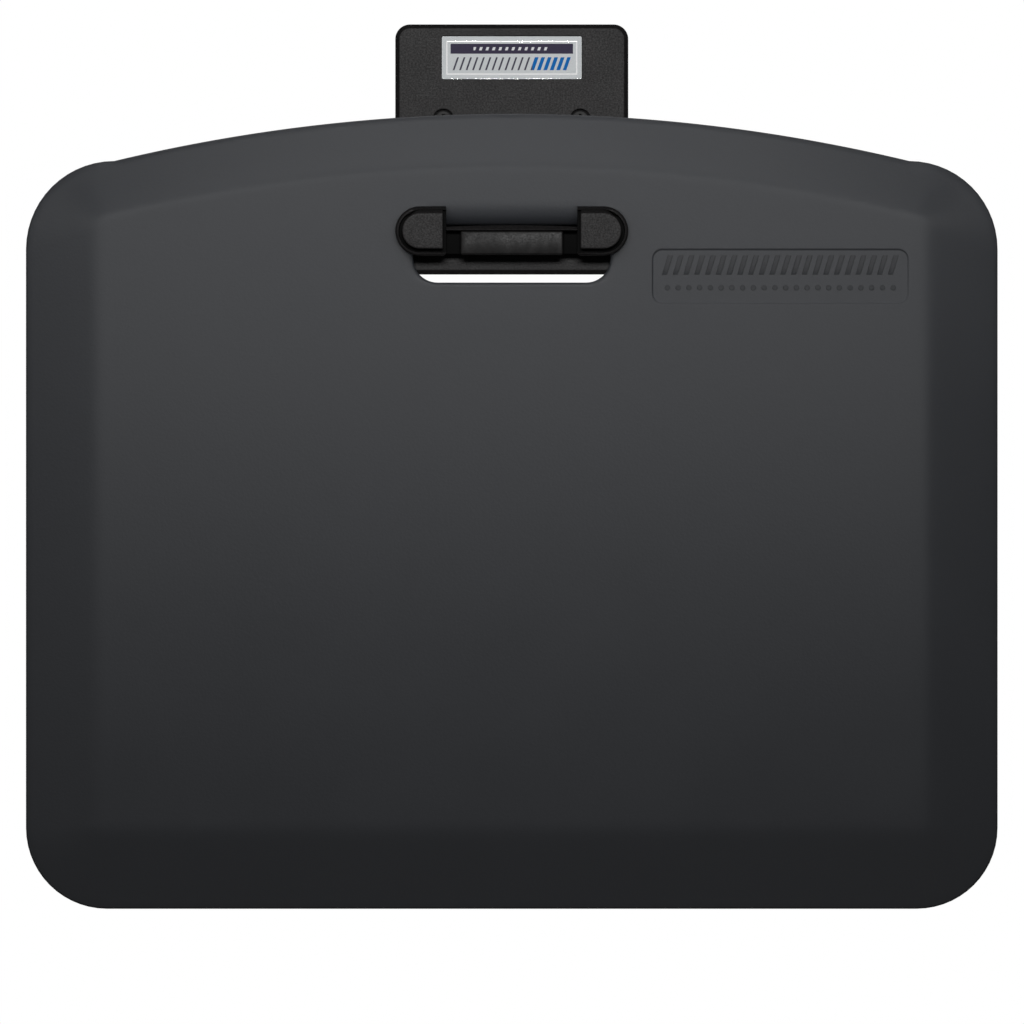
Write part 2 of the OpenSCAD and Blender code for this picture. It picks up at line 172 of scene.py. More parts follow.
def round_rectangle(centre, width, height, radius, steps=8):
    half_x, half_z = width / 2 - radius, height / 2 - radius
    corners = [(-half_x, -half_z, 180), (half_x, -half_z, 270), (half_x, half_z, 0), (-half_x, half_z, 90)]
    return [
        point
        for x, z, start in corners
        for point in arc((centre[0] + x, centre[1] + z), radius, start, start + 90, steps)
    ]


def eased(corners, radius, steps=4):
    """A profile whose inner corners are rounded off."""
    points = [corners[0]]
    for before, corner, after in zip(corners, corners[1:], corners[2:]):
        before, corner, after = Vector(before), Vector(corner), Vector(after)
        start = corner + (before - corner) * min(0.45, radius / (before - corner).length)
        end = corner + (after - corner) * min(0.45, radius / (after - corner).length)
        for i in range(steps + 1):
            t = i / steps
            points.append(tuple((1 - t) ** 2 * start + 2 * t * (1 - t) * corner + t**2 * end))
    return points + [corners[-1]]


# %% Shells built ring by ring
def triangulate(points, outer, holes=(), creases=()):
    """Triangles that fill the outer loop round its holes. Creases are loops whose edges stay."""
    edges = [(loop[i - 1], loop[i]) for loop in creases for i in range(len(loop))]
    flat = [Vector(point) for point in points]
    _, _, triangles, origins, _, owners = delaunay_2d_cdt(flat, edges, [outer, *holes], 1, 1e-7)
    return [[origins[v][0] for v in face] for face, owner in zip(triangles, owners) if owner == [0]]


class Shell:
    """A closed surface made of rings of points, each ring at its own depth."""

    def __init__(self):
        self.body = bmesh.new()

    def sweep(self, outline, profile):
        """Rings of outline(size) at depth y, joined by strips. Returns the first and last ring."""
        rings = [[self.body.verts.new((x, y, z)) for x, z in outline(size)] for size, y in profile]
        for low, high in zip(rings, rings[1:]):
            for i in range(len(low)):
                self.body.faces.new((low[i - 1], low[i], high[i], high[i - 1]))
        return rings[0], rings[-1]

    def cap(self, outer, holes=()):
        """Fills a ring flat, round the rings of its holes."""
        corners = [v for ring in (outer, *holes) for v in ring]
        loops = []
        for ring in (outer, *holes):
            start = sum(len(loop) for loop in loops)
            loops.append(list(range(start, start + len(ring))))
        for triangle in triangulate([(v.co.x, v.co.z) for v in corners], loops[0], loops[1:]):
            self.body.faces.new([corners[i] for i in triangle])

    def finish(self, name, sharp=40):
        bmesh.ops.recalc_face_normals(self.body, faces=self.body.faces)
        mesh = bpy.data.meshes.new(name)
        self.body.to_mesh(mesh)
        self.body.free()
        return shaded(mesh, sharp)


def shaded(mesh, sharp):
    """Smooth shading, with a crease wherever two faces meet more sharply than an angle in degrees."""
    mesh.shade_smooth()
    mesh.set_sharp_from_angle(angle=math.radians(sharp))
    return mesh


# %% Pieces and Geometry Nodes recipes
def add_piece(name, mesh, material, body, slot, *nodes):
    """Shows a mesh as a finished piece that rides on a body and stands for its solids."""
    piece = bpy.data.objects.new(name, mesh)
    bpy.context.scene.collection.objects.link(piece)
    mesh.materials.clear()
    mesh.materials.append(material)
    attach(piece, body)
    if nodes:
        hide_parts(*nodes)
    print(f"{name}: {len(mesh.polygons)} faces")
    return piece


def new_recipe(name, sockets):
    """A Geometry Nodes tree with named inputs. Returns its Graph and its inputs as wires."""
    tree = bpy.data.node_groups.new(name, "GeometryNodeTree")
    for label, kind in {"Geometry": "Geometry", **sockets, "Material": "Material"}.items():
        tree.interface.new_socket(label, in_out="INPUT", socket_type="NodeSocket" + kind)
    tree.interface.new_socket("Geometry", in_out="OUTPUT", socket_type="NodeSocketGeometry")
    graph = Graph(tree)
    start = graph.node("NodeGroupInput")
    return graph, {label: start.other(label) for label in ["Geometry", *sockets, "Material"]}


def end_recipe(graph, result, material):
    """Ends a tree in Realize Instances and Set Material."""
    real = graph.node("GeometryNodeRealizeInstances", None, {"Geometry": result})
    finished = graph.node("GeometryNodeSetMaterial", None, {"Geometry": real, "Material": material})
    end = graph.tree.nodes.new("NodeGroupOutput")
    graph.tree.links.new(finished.socket, end.inputs[0])
    return graph.tree


def run_recipe(tree, start, values):
    """Runs a tree on a mesh and returns the plain mesh that it makes."""
    holder = bpy.data.objects.new(tree.name, start)
    bpy.context.scene.collection.objects.link(holder)
    modifier = holder.modifiers.new(tree.name, "NODES")
    modifier.node_group = tree
    for item in tree.interface.items_tree:
        if item.in_out == "INPUT" and item.name in values:
            modifier[item.identifier] = values[item.name]
    evaluated = holder.evaluated_get(bpy.context.evaluated_depsgraph_get())
    result = bpy.data.meshes.new_from_object(evaluated)
    bpy.data.objects.remove(holder)
    return result


def raised(graph, flat, direction, height):
    """Extrudes a flat mesh and returns the raised faces and the flipped copy that closes their back."""
    inputs = {"Mesh": flat, "Offset": direction, "Offset Scale": height, "Individual": False}
    return (
        graph.node("GeometryNodeExtrudeMesh", None, inputs),
        graph.node("GeometryNodeFlipFaces", None, {"Mesh": flat}),
    )


def joined(graph, *parts):
    """Joins meshes and merges the edges that they share."""
    node = graph.tree.nodes.new("GeometryNodeJoinGeometry")
    for part in parts:
        graph.tree.links.new(part.socket, node.inputs[0])
    inputs = {"Geometry": Wire(graph, node.outputs[0]), "Distance": 0.001 * MM}
    return graph.node("GeometryNodeMergeByDistance", None, inputs)


# %% [markdown]
# ## Surfaces
# The object's surfaces are moulded plastic, foam skin, metal, print and clear resin. The plastic, foam and
# metal each get three things: a base colour that drifts a little, a roughness that drifts with it, and a bump
# at the true scale of its grain. The print has no bump, and the resin is one uniform film. The patterns read
# Object coordinates, so they stay put when the mat is lifted.

# %% Starting a surface
def new_surface(name, **uniform):
    """A material, its Graph and its shader. What is the same all over goes straight on the sockets."""
    material = bpy.data.materials.new(name)
    material.use_nodes = True
    shader = material.node_tree.nodes["Principled BSDF"]
    for socket, value in uniform.items():
        shader.inputs[socket.replace("_", " ")].default_value = value
    return material, Graph(material.node_tree), shader


def feed(graph, shader, **wires):
    for socket, wire in wires.items():
        graph.tree.links.new(wire.socket, shader.inputs[socket.replace("_", " ")])


def place(graph):
    return graph.node("ShaderNodeTexCoord", out="Object")


def noise(graph, size, detail=2.0, roughness=0.5):
    """Clouds whose lumps are about size across."""
    inputs = {"Vector": place(graph), "Scale": 1 / size, "Detail": detail, "Roughness": roughness}
    return graph.node("ShaderNodeTexNoise", None, inputs)


def cells(graph, size):
    """Soft pebbles about size across."""
    settings = {"feature": "SMOOTH_F1"}
    inputs = {"Vector": place(graph), "Scale": 1 / size, "Smoothness": 0.6}
    return graph.node("ShaderNodeTexVoronoi", settings, inputs)


def bump(graph, height, depth, strength=1.0, under=None):
    inputs = {"Height": height, "Distance": depth, "Strength": strength}
    if under:
        inputs["Normal"] = under
    return graph.node("ShaderNodeBump", None, inputs)


# %% Foam skin of the mat
FOAM_DARK, FOAM_LIGHT = (0.035, 0.0375, 0.043), (0.047, 0.050, 0.057)


def foam_skin(name, shade=1.0, sheen=0.5):
    """Charcoal polyurethane skin: a fine pebble grain with slow drifts in tone and sheen."""
    material, graph, shader = new_surface(name, Specular_IOR_Level=sheen)
    drift = noise(graph, 70 * MM, 3)
    grain = noise(graph, 1.3 * MM, 3, 0.6)
    pebbles = cells(graph, 1.9 * MM)
    tone = graph.math("ADD", drift * 0.6, grain * 0.4)
    dark, light = ([shade * c for c in colour] + [1] for colour in (FOAM_DARK, FOAM_LIGHT))
    feed(
        graph,
        shader,
        Base_Color=graph.mix(tone, dark, light),
        Roughness=0.38 + 0.13 * tone,
        Normal=bump(graph, 0.6 * pebbles + 0.4 * grain, 0.12 * MM, 0.5),
    )
    return material


# %% Sand-textured plastic of the bracket
ear_middle = (hook_low[2] + hook_high[2]) / 2
ear_radius = (hook_high[2] - hook_low[2]) / 2
ear_centre = hook_high[0] - ear_radius
ear_start, moat_radius = 44.4 * MM, ear_radius - 2.5 * MM


def sand_plastic(name, painted_shade_behind=None):
    """Black moulded plastic with the fine sand texture of a spark-eroded mould.

    Where a depth is given, surfaces behind it get painted shade, a near-black and fully rough colour, and so
    does the moat between each ear's rim and its cap.
    """
    material, graph, shader = new_surface(name, Specular_IOR_Level=0.12)
    sand = noise(graph, 1.2 * MM, 3, 0.7)
    specks = cells(graph, 1.1 * MM)
    drift = noise(graph, 14 * MM, 3)
    grain = graph.ease(sand, 0.32, 0.68)
    tone = graph.mix(grain, (0.0038, 0.0035, 0.0036, 1), (0.0125, 0.0116, 0.0118, 1))
    rough = 0.525 + 0.08 * drift - 0.11 * grain
    if painted_shade_behind is not None:
        split = graph.node("ShaderNodeSeparateXYZ", None, {0: place(graph)})
        depth = split.other("Y")
        across = graph.math("ABSOLUTE", split)
        past = graph.math("MAXIMUM", across - ear_centre, 0)
        height = split.other("Z") - ear_middle
        in_ear = (graph.math("SQRT", past * past + height * height) < moat_radius) * (across > ear_start)
        moat = in_ear * (depth > hook_low[1] + 0.5 * MM)
        # painted shade: a near-black, fully rough colour behind the given depth and in each ear's moat, where
        # shade falls
        painted_shade = graph.math("MAXIMUM", graph.ease(depth, painted_shade_behind - 1.5 * MM, painted_shade_behind), moat)
        tone = graph.mix(painted_shade, tone, (0.002, 0.002, 0.002, 1))
        rough = rough + painted_shade * (0.95 - rough)
    feed(
        graph,
        shader,
        Base_Color=tone,
        Roughness=rough,
        Normal=bump(graph, 0.6 * sand + 0.4 * specks, 0.12 * MM, 0.8),
    )
    return material


# %% Mottled rubber of the pad
def mottled_rubber():
    """Matt black rubber, mottled where the mould's texture has worn unevenly."""
    material, graph, shader = new_surface("pad_mottle", Specular_IOR_Level=0.12)
    patches = noise(graph, 3.5 * MM, 4, 0.65)
    sand = noise(graph, 1.1 * MM, 3, 0.7)
    mottle = graph.ease(patches, 0.3, 0.7)
    feed(
        graph,
        shader,
        Base_Color=graph.mix(mottle, (0.005, 0.0047, 0.0047, 1), (0.009, 0.0085, 0.0085, 1)),
        Roughness=0.55 - 0.06 * mottle - 0.13 * graph.ease(sand, 0.32, 0.68),
        Normal=bump(graph, 0.4 * patches + 0.6 * sand, 0.12 * MM, 0.6),
    )
    return material


# %% Black and zinc screws
def screw_metal(name, dark, light, metallic, roughness, sheen):
    """Plated steel with fine tool marks and slightly uneven plating."""
    material, graph, shader = new_surface(name, Metallic=metallic, Specular_IOR_Level=sheen)
    stain = noise(graph, 2.5 * MM, 4, 0.6)
    marks = noise(graph, 0.25 * MM, 2, 0.6)
    feed(
        graph,
        shader,
        Base_Color=graph.mix(stain, dark, light),
        Roughness=roughness + 0.2 * stain,
        Normal=bump(graph, marks, 0.03 * MM, 0.4),
    )
    return material


# %% [markdown]
# ## The badge's print
# A metal plate is printed and then covered with a clear resin dome. The print is a plain made-up design: a
# navy band over a row of slanted bars that turn from grey to blue. Round them runs a white line, a painted
# highlight where the dome's slope meets its crown. All of it is drawn with sums on the plate's own
# coordinates, so its edges stay crisp at any distance.

# %% Printed plate
def printed_plate():
    """The design's sizes are in millimetres from the middle of the plate, and its shares are of one pitch."""
    # the white line round the design is a painted highlight of the dome's edge, placed where its slope meets
    # the crown
    highlight_inset, highlight_half = 3.4, 0.42
    band_up, band_half, band_reach = 6.1, 3.4, 41.6
    dot_half, dot_reach, dot_share = 1.1, 26, 0.4
    row_drop, row_half, row_reach = 4.1, 4.4, 40
    pitch, lean, shift, bold_from, thin_share, bold_share = 4.4, 0.35, 200, 14, 0.28, 0.3
    grey_ink, blue_ink, navy_ink = (0.055, 0.052, 0.075, 1), (0.0, 0.11, 0.36, 1), (0.034, 0.028, 0.055, 1)
    dot_ink, painted_highlight_white = (0.62, 0.62, 0.64, 1), (0.76, 0.76, 0.76, 1)

    material, graph, shader = new_surface("badge_ink", Specular_IOR_Level=0.0)
    split = graph.node("ShaderNodeSeparateXYZ", None, {"Vector": place(graph)})
    across = split * 1000
    up = (split.other("Z") - (badge_low[2] + badge_high[2]) / 2) * 1000
    half_w = (badge_high[0] - badge_low[0]) / 2 / MM
    half_h = (badge_high[2] - badge_low[2]) / 2 / MM
    side = graph.math("ABSOLUTE", across)
    height = graph.math("ABSOLUTE", up)
    rim = graph.math("MAXIMUM", side - (half_w - highlight_inset), height - (half_h - highlight_inset))
    # painted highlight: the white line that stands for the dome's edge catching the light
    line = graph.math("ABSOLUTE", rim) < highlight_half
    from_band = graph.math("ABSOLUTE", up - band_up)
    band = (from_band < band_half) * (side < band_reach)
    slanted = across - lean * up
    slant = graph.math("FRACT", (slanted + shift) / pitch)
    row = (graph.math("ABSOLUTE", up + row_drop) < row_half) * (graph.math("ABSOLUTE", slanted) < row_reach)
    bold = across > bold_from
    bars = row * (slant < (thin_share + bold_share * bold))
    dots = (from_band < dot_half) * (side < dot_reach) * (slant < dot_share)
    brushed = noise(graph, 0.35 * MM, 2)
    metal = graph.mix(brushed, (0.47, 0.49, 0.50, 1), (0.55, 0.57, 0.58, 1))
    printed = graph.mix(bars, metal, graph.mix(bold, grey_ink, blue_ink))
    for shape, ink in ((band, navy_ink), (dots, dot_ink), (line, painted_highlight_white)):
        printed = graph.mix(shape, printed, ink)
    feed(graph, shader, Base_Color=printed, Roughness=0.6 + 0.1 * brushed)
    return material


# %% Clear resin
def clear_resin():
    """Clear resin: mostly see-through, with a mirror-like film that grows at a glancing angle."""
    material, graph, shader = new_surface("dome_resin", Base_Color=(1, 1, 1, 1), Metallic=1.0, Roughness=0.04)
    edge_on = graph.node("ShaderNodeLayerWeight", None, {"Blend": 0.5}, out="Facing")
    film = 0.04 + 0.96 * graph.math("POWER", edge_on, 5)
    clear = graph.node("ShaderNodeBsdfTransparent")
    covered = graph.node("ShaderNodeMixShader", None, {0: film, 1: clear, 2: Wire(graph, shader.outputs[0])})
    graph.tree.links.new(covered.socket, graph.tree.nodes["Material Output"].inputs["Surface"])
    return material


foam = foam_skin("mat_skin")
pressed_foam = foam_skin("tread_skin", 0.68, 0.4)
plastic = sand_plastic("plate_grain")
# the hook's plastic has shade painted behind its recess floor and in the moats round its caps
hook_plastic = sand_plastic("hook_grain", painted_shade_behind=-23.5 * MM)
rubber = mottled_rubber()
print_finish = printed_plate()
resin = clear_resin()
black_steel = screw_metal("screw_black", (0.004, 0.004, 0.004, 1), (0.010, 0.0095, 0.0095, 1), 0.0, 0.42, 0.14)
zinc_steel = screw_metal("screw_zinc", (0.42, 0.42, 0.43, 1), (0.66, 0.66, 0.67, 1), 1.0, 0.28, 0.5)
surfaces = (foam, pressed_foam, plastic, hook_plastic, rubber, print_finish, resin, black_steel, zinc_steel)
print("surfaces:", [material.name for material in surfaces])

# %% [markdown]
# ## The mat
# A real mat is poured in an open mould: its front gets the sloping border, the eased slot and the moulded
# panel, and its back is flat. The same order works here. A flat pattern is drawn first, with rings of points
# where the surface will bend and numbers on each point that say how far it is into a border, a lip or the
# panel. A Geometry Nodes recipe then lifts the pattern into relief. The shape stays a rule: change a number
# and the whole border follows.

# %% Sizes of the mat
mat_width = mat_high[0] - mat_low[0]
arch_rise = 32 * MM
corner_top, corner_bottom, corner_crest = 60 * MM, 55 * MM, 4 * MM
border_side, border_bottom, border_top = 49 * MM, 53 * MM, 36 * MM
edge_thickness = 3 * MM
mat_thickness = mat_high[1] - mat_low[1]
arch_half = mat_width / 2 - corner_top
arch_radius = (arch_half**2 + arch_rise**2) / (2 * arch_rise)

slot_width, slot_height, slot_radius = 133.8 * MM, 39 * MM, 16.6 * MM
slot_top = hook_high[2] - 12.5 * MM
slot_centre = (0, slot_top - slot_height / 2)
lip_reach = {"top": 17 * MM, "side": 9 * MM, "bottom": 3.4 * MM}

panel_width, panel_height, panel_radius, panel_depth = 174.3 * MM, 37.7 * MM, 7.3 * MM, 0.8 * MM
panel_centre = (
    mat_high[0] - border_side - 12 * MM - panel_width / 2,
    slot_top - 16 * MM - panel_height / 2,
)
print("slot centre", slot_centre, "panel centre", panel_centre)


# %% Rings of the mat's pattern
def mat_outline(share):
    """The mat's outline, moved in by a share of the sloping border.

    At the outer edge the arch meets each corner with a faint kink, which fades out up the border.
    """
    side = mat_high[0] - share * border_side
    base = mat_low[2] + share * border_bottom
    top = mat_high[2] - share * border_top
    low_r = max(corner_bottom - share * border_side, corner_crest)
    top_r = max(corner_top - share * border_side, corner_crest)
    radius = arch_radius - share * border_top
    end_x = side - top_r
    kinked_z = math.sqrt(radius**2 - end_x**2) - top_r
    smooth_z = math.sqrt((radius - top_r) ** 2 - end_x**2)
    smooth = min(1, share / 0.25)
    smooth *= smooth * (3 - 2 * smooth)
    corner_z = top - radius + kinked_z + smooth * (smooth_z - kinked_z)
    lean = smooth * math.degrees(math.asin(end_x / (radius - top_r)))
    end = end_x + top_r * math.sin(math.radians(lean))
    reach = math.degrees(math.asin(end / radius))
    return (
        arc((low_r - side, base + low_r), low_r, 180, 270, 14)
        + arc((side - low_r, base + low_r), low_r, 270, 360, 14)
        + arc((end_x, corner_z), top_r, 0, 90 - lean, 14)
        + arc((0, top - radius), radius, 90 - reach, 90 + reach, 60)[1:-1]
        + arc((-end_x, corner_z), top_r, 90 + lean, 180, 14)
    )


def slot_ring(share):
    """Points round the hand slot, moved out by a share of the lip, and how far up each one faces."""
    ring = round_rectangle(slot_centre, slot_width, slot_height, slot_radius, 12)
    points = []
    for x, z in divided(ring):
        core_x = max(min(x, slot_width / 2 - slot_radius), slot_radius - slot_width / 2)
        core_z = max(min(z - slot_centre[1], slot_height / 2 - slot_radius), slot_radius - slot_height / 2)
        outward = Vector((x - core_x, z - slot_centre[1] - core_z)).normalized()
        other = lip_reach["top"] if outward.y > 0 else lip_reach["bottom"]
        reach = lip_reach["side"] + (other - lip_reach["side"]) * outward.y**2
        points.append((x + outward.x * reach * share, z + outward.y * reach * share, outward.y))
    return points


def divided(loop, limit=11 * MM):
    """A loop with points added along its long sides."""
    points = []
    for start, end in zip(loop, loop[1:] + loop[:1]):
        start, end = Vector(start), Vector(end)
        count = max(1, math.ceil((end - start).length / limit))
        points += [tuple(start.lerp(end, i / count)) for i in range(count)]
    return points


# %% The flat pattern
EDGE_ROUND = 0.022   # share of the border that the rounded outer edge takes
quarter_turn = [1 - math.cos(math.radians(angle)) for angle in range(0, 91, 10)]
border_shares = (
    [EDGE_ROUND * step for step in quarter_turn[::2]]
    + [0.04, 0.12, 0.3, 0.5, 0.68]
    + [0.78 + 0.034 * i for i in range(13)]
)
panel_shares = {-0.5: 0, 0: 0, 0.25: 0.1, 0.5: 0.35, 0.75: 0.65, 1.0: 0.9, 1.25: 1, 1.8: 1}

pattern_points, pattern_values, pattern_loops = [], [], []


def add_loop(points, values):
    """Adds a loop to the pattern, with border, slot, facing and panel values for each point."""
    start = len(pattern_points)
    pattern_points.extend(points)
    pattern_values.extend(values)
    pattern_loops.append(list(range(start, start + len(points))))


for share in border_shares:
    ring = divided(mat_outline(share))
    add_loop(ring, [(share, 1, 0, 0)] * len(ring))
for share in quarter_turn:
    ring = slot_ring(share)
    add_loop([(x, z) for x, z, _ in ring], [(2, share, up, 0) for _, _, up in ring])
for inset, sunk in panel_shares.items():
    size = (panel_width - 2 * inset * MM, panel_height - 2 * inset * MM, panel_radius - inset * MM)
    ring = divided(round_rectangle(panel_centre, *size, 10))
    add_loop(ring, [(2, 1, 0, sunk)] * len(ring))

# %% Points that fill the flat middle
grid_step = 11 * MM
clear_of_crest = 1.36 * border_side
keep_out = [
    (slot_centre, slot_width / 2 + 14 * MM, slot_height / 2 + 21 * MM),
    (panel_centre, panel_width / 2 + 5 * MM, panel_height / 2 + 5 * MM),
]
for column in range(int(mat_low[0] / grid_step), int(mat_high[0] / grid_step) + 1):
    for row in range(int(mat_low[2] / grid_step), int(mat_high[2] / grid_step) + 1):
        x, z = column * grid_step, row * grid_step
        arch_top = mat_high[2] - arch_radius + math.sqrt(arch_radius**2 - x**2)
        inside = abs(x) < mat_high[0] - clear_of_crest and mat_low[2] + clear_of_crest < z
        inside = inside and z < arch_top - clear_of_crest
        near = any(abs(x - c[0]) < w and abs(z - c[1]) < h for c, w, h in keep_out)
        if inside and not near:
            pattern_points.append((x, z))
            pattern_values.append((2, 1, 0, 0))

slot_loop = pattern_loops[len(border_shares)]
creases = [loop for loop in pattern_loops[1:] if loop is not slot_loop]
pattern_faces = triangulate(pattern_points, pattern_loops[0], [slot_loop], creases)
print("pattern:", len(pattern_points), "points,", len(pattern_faces), "triangles")

pattern = bpy.data.meshes.new("mat_pattern")
pattern.from_pydata([(x, mat_high[1], z) for x, z in pattern_points], [], pattern_faces)
for index, name in enumerate(("border", "slot", "facing", "panel")):
    layer = pattern.attributes.new(name, "FLOAT", "POINT")
    layer.data.foreach_set("value", [float(values[index]) for values in pattern_values])

# %% [markdown]
# The recipe raises the flat pattern by the thickness of the outer edge, and then moves each raised point to
# its true depth. The border is a straight slope that meets the flat middle in a smooth minimum, the outer edge
# and the slot's lip are quarter ellipses, and the panel sinks by its own share.

# %% Relief recipe
def relief_recipe():
    graph, inputs = new_recipe(
        "Mat relief",
        {
            "Edge thickness": "Float",
            "Thickness": "Float",
            "Crest softness": "Float",
            "Edge rounding": "Float",
            "Back rounding": "Float",
            "Lip depth": "Float",
            "Lip depth below": "Float",
            "Panel depth": "Float",
        },
    )

    def value(name):
        return graph.node("GeometryNodeInputNamedAttribute", None, {"Name": name})

    def quarter(share):
        """How deep a rounded edge has fallen at a share of its width: 1 at the edge, 0 at the end."""
        left = graph.math("MAXIMUM", 1 - share, 0)
        return 1 - graph.math("SQRT", graph.math("MAXIMUM", 1 - left * left, 0))

    def moved(mesh, depth, selection=None):
        here = graph.node("GeometryNodeInputPosition")
        split = graph.node("ShaderNodeSeparateXYZ", None, {0: here})
        there = graph.node("ShaderNodeCombineXYZ", None, {"X": split, "Y": depth, "Z": split.other("Z")})
        chosen = {"Selection": selection} if selection else {}
        return graph.node("GeometryNodeSetPosition", None, {"Geometry": mesh, "Position": there, **chosen})

    border, facing = value("border"), value("facing")
    back = mat_high[1] - inputs["Back rounding"] * quarter(border / EDGE_ROUND)
    flat = moved(inputs["Geometry"], back)
    top, underside = raised(graph, flat, (0, -1, 0), inputs["Edge thickness"])

    rise = inputs["Thickness"] - inputs["Edge thickness"]
    slope = inputs["Edge thickness"] + rise * border
    thickness = graph.math("SMOOTH_MIN", slope, inputs["Thickness"], inputs["Crest softness"])
    upward = graph.math("MAXIMUM", facing, 0)
    lip = inputs["Lip depth below"] + (inputs["Lip depth"] - inputs["Lip depth below"]) * upward * upward
    front = (
        mat_high[1]
        - thickness
        + inputs["Edge rounding"] * quarter(border / EDGE_ROUND)
        + lip * quarter(value("slot"))
        + inputs["Panel depth"] * value("panel")
    )
    shaped = moved(top, front, top.other("Top"))
    return end_recipe(graph, joined(graph, shaped, underside), inputs["Material"])


# %% The mat's mesh
mat_mesh = run_recipe(
    relief_recipe(),
    pattern,
    {
        "Edge thickness": edge_thickness,
        "Thickness": mat_thickness,
        "Crest softness": 3 * MM,
        "Edge rounding": 1 * MM,
        "Back rounding": 0.6 * MM,
        "Lip depth": 10 * MM,
        "Lip depth below": 3 * MM,
        "Panel depth": panel_depth,
        "Material": foam,
    },
)
mat_piece = add_piece("standing_mat", shaded(mat_mesh, 50), foam, "mat", "mat_foam", "mat")

# %% [markdown]
# ## Tread marks in the panel
# The panel holds a row of slanted ribs over a row of small studs. Both repeat at one pitch, so a recipe makes
# one rib and one stud and places a copy of each at every step of a line.

# %% Tread recipe
def tread_recipe():
    graph, inputs = new_recipe(
        "Tread marks",
        {
            "Count": "Int",
            "Pitch": "Float",
            "Rib width": "Float",
            "Rib height": "Float",
            "Lean": "Float",
            "Rise": "Float",
            "Stud radius": "Float",
            "Row gap": "Float",
        },
    )

    def pressed(outline):
        """A flat outline raised into a low block with a small step in at its top."""
        flat = graph.node("GeometryNodeFillCurve", {"mode": "NGONS"}, {"Curve": outline})
        wall, underside = raised(graph, flat, (0, 0, 1), inputs["Rise"] * 0.6)
        more = {"Mesh": wall, "Selection": wall.other("Top"), "Offset": (0, 0, 1), "Individual": False}
        crown = graph.node("GeometryNodeExtrudeMesh", None, {**more, "Offset Scale": inputs["Rise"] * 0.4})
        top = crown.other("Top")
        smaller = {"Geometry": crown, "Selection": top, "Scale": 0.9}
        shrunk = graph.node("GeometryNodeScaleElements", None, smaller)
        return joined(graph, shrunk, underside)

    def row(block, up):
        step = graph.node("ShaderNodeCombineXYZ", None, {"X": inputs["Pitch"]})
        start = graph.node(
            "ShaderNodeCombineXYZ", None, {"X": inputs["Pitch"] * (1 - inputs["Count"]) / 2, "Y": up}
        )
        line = graph.node(
            "GeometryNodeMeshLine", None, {"Count": inputs["Count"], "Start Location": start, "Offset": step}
        )
        return graph.node("GeometryNodeInstanceOnPoints", None, {"Points": line, "Instance": block})

    rib_sizes = {"Width": inputs["Rib width"], "Height": inputs["Rib height"], "Offset": inputs["Lean"]}
    rib = graph.node("GeometryNodeCurvePrimitiveQuadrilateral", {"mode": "PARALLELOGRAM"}, rib_sizes)
    stud_sizes = {"Resolution": 20, "Radius": inputs["Stud radius"]}
    stud = graph.node("GeometryNodeCurvePrimitiveCircle", None, stud_sizes)
    marks = joined(
        graph,
        graph.node(
            "GeometryNodeRealizeInstances", None, {"Geometry": row(pressed(rib), inputs["Row gap"] / 2)}
        ),
        graph.node(
            "GeometryNodeRealizeInstances", None, {"Geometry": row(pressed(stud), inputs["Row gap"] / -2)}
        ),
    )
    upright = {
        "Geometry": marks,
        "Rotation": (math.radians(90), 0, 0),
        "Translation": (panel_centre[0], mat_low[1] + panel_depth, panel_centre[1]),
    }
    return end_recipe(graph, graph.node("GeometryNodeTransform", None, upright), inputs["Material"])


rib_count, rib_width, rib_height, rib_lean, panel_margin = 22, 3.4 * MM, 13 * MM, 4 * MM, 7 * MM
stud_radius = 1.8 * MM
tread_mesh = run_recipe(
    tread_recipe(),
    bpy.data.meshes.new("tread_start"),
    {
        "Count": rib_count,
        "Pitch": (panel_width - 2 * panel_margin - rib_width - rib_lean) / (rib_count - 1),
        "Rib width": rib_width,
        "Rib height": rib_height,
        "Lean": rib_lean,
        "Rise": 0.5 * MM,
        "Stud radius": stud_radius,
        "Row gap": panel_height - 2 * panel_margin - rib_height / 2 - stud_radius,
        "Material": pressed_foam,
    },
)
tread_piece = add_piece("tread_marks", shaded(tread_mesh, 40), pressed_foam, "mat", "mat_foam")

# %% [markdown]
# ## The wall plate
# The plate is a moulded slab: its front edge slopes in, the wall screws sit in counterbores, the badge lies in
# a shallow recess, and the hook's screws come in from the back. Rings make the sloping edge and every hole,
# and the flat faces are filled between them.

# %% Wall plate
slot_clearance, neck_half = 0.3 * MM, 9.5 * MM
neck_middle = slot_top - slot_clearance - neck_half
wall_span, hook_span = (93 * MM, 40.6 * MM), (84 * MM, 9.4 * MM)


def span_corners(span, middle):
    """The corners of a set of four screws, round a middle height."""
    half_x, half_z = span[0] / 2, span[1] / 2
    return [(x, middle + z) for z in (half_z, -half_z) for x in (-half_x, half_x)]


wall_screw_places, hook_screw_places = span_corners(wall_span, 0), span_corners(hook_span, neck_middle)
badge_centre = (0, (badge_low[2] + badge_high[2]) / 2)


def plate_outline(inset):
    size = (plate_high[0] - plate_low[0] - 2 * inset, plate_high[2] - plate_low[2] - 2 * inset)
    return round_rectangle((0, 0), *size, 10 * MM - inset, 14)


def badge_outline(inset):
    size = (badge_high[0] - badge_low[0] - 2 * inset, badge_high[2] - badge_low[2] - 2 * inset)
    return round_rectangle(badge_centre, *size, max(1 * MM - inset, 0.25 * MM), 6)


def rounded(profile, radius, steps=3):
    """A profile given in millimetres, with its corners rounded off."""
    return eased([(size * MM, depth * MM) for size, depth in profile], radius * MM, steps)


